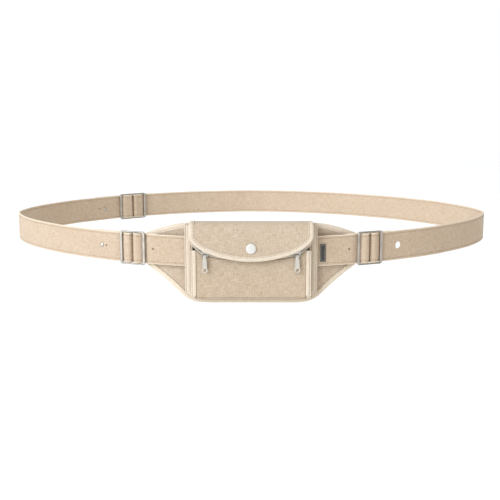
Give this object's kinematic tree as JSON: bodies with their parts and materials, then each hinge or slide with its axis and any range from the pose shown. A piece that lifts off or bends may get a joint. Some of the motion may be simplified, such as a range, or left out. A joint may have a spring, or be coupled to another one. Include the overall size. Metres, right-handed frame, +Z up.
{
  "type": "money belt",
  "caption": "Flat canvas waist pouch with a snap flap and a zipped front pocket, on a wide strap loop joined by four-bar metal buckles.",
  "frame": {"origin": "centre of the wearer's waist inside the strap loop, at the strap's mid height", "axes": "+X to the wearer's left across the loop (right in front view), +Y towards the wearer's back, +Z up"},
  "size_m": [0.536, 0.4003, 0.0822],
  "materials": {
    "canvas": "beige plain-weave cotton canvas",
    "binding": "cream woven edge tape",
    "buckle_metal": "satin nickel plate",
    "zip_metal": "nickel-plated zip and snap metal",
    "cap_white": "glossy white snap cap",
    "label_dark": "dark woven label, blank"
  },
  "bodies": {
    "belt": {"back_panel": "canvas", "panel_binding_top": "binding", "panel_binding_bottom": "binding", "main_gusset": "canvas", "divider_panel": "canvas", "front_gusset": "canvas", "front_gusset_top": "canvas", "front_panel": "canvas", "front_facing": "canvas", "zip_tape": "binding", "zip_coil": "zip_metal", "main_binding_left": "binding", "main_binding_right": "binding", "front_binding_left": "binding", "front_binding_right": "binding", "snap_stud": "zip_metal", "wing_strap_left": "canvas", "wing_strap_right": "canvas", "strap_left": "canvas", "strap_back": "canvas", "label": "label_dark", "strap_stud_front_left": "buckle_metal", "strap_stud_back_left": "buckle_metal"},
    "flap": {"flap": "canvas", "flap_binding": "binding", "snap_cap": "cap_white", "snap_socket": "zip_metal"},
    "slider_left": {"zip_slider_left": "zip_metal"},
    "slider_right": {"zip_slider_right": "zip_metal"},
    "pull_left": {"zip_pull_left": "zip_metal"},
    "pull_right": {"zip_pull_right": "zip_metal"},
    "buckle_front_left": {"buckle_front_left": "buckle_metal"},
    "buckle_front_right": {"buckle_front_right": "buckle_metal"},
    "buckle_back_left": {"buckle_back_left": "buckle_metal"}
  },
  "joints": [
    {"name": "flap_hinge", "type": "hinge", "parent": "belt", "child": "flap", "pos_m": [0, -0.1662, 0.0271], "axis": [-1, 0, 0], "range_deg": [0, 160]},
    {"name": "slider_left_run", "type": "hinge", "parent": "belt", "child": "slider_left", "pos_m": [0, -0.182, 0.2036], "axis": [0, -1, 0], "range_deg": [0, 9.7]},
    {"name": "slider_right_run", "type": "hinge", "parent": "belt", "child": "slider_right", "pos_m": [0, -0.182, 0.2036], "axis": [0, 1, 0], "range_deg": [0, 9.7]},
    {"name": "pull_left_swing", "type": "hinge", "parent": "slider_left", "child": "pull_left", "pos_m": [-0.0445, -0.1844, -0.00323], "axis": [-1, 0, 0], "range_deg": [0, 100]},
    {"name": "pull_right_swing", "type": "hinge", "parent": "slider_right", "child": "pull_right", "pos_m": [0.0445, -0.1844, -0.00323], "axis": [-1, 0, 0], "range_deg": [0, 100]},
    {"name": "buckle_front_left_rock", "type": "hinge", "parent": "belt", "child": "buckle_front_left", "pos_m": [-0.116, -0.15727, 0], "axis": [0, 0, 1], "range_deg": [-2, 2]},
    {"name": "buckle_front_right_rock", "type": "hinge", "parent": "belt", "child": "buckle_front_right", "pos_m": [0.1162, -0.15719, 0], "axis": [0, 0, 1], "range_deg": [-2, 2]},
    {"name": "buckle_back_left_rock", "type": "hinge", "parent": "belt", "child": "buckle_back_left", "pos_m": [-0.1585, 0.15775, 0], "axis": [0, 0, 1], "range_deg": [-2, 2]}
  ]
}
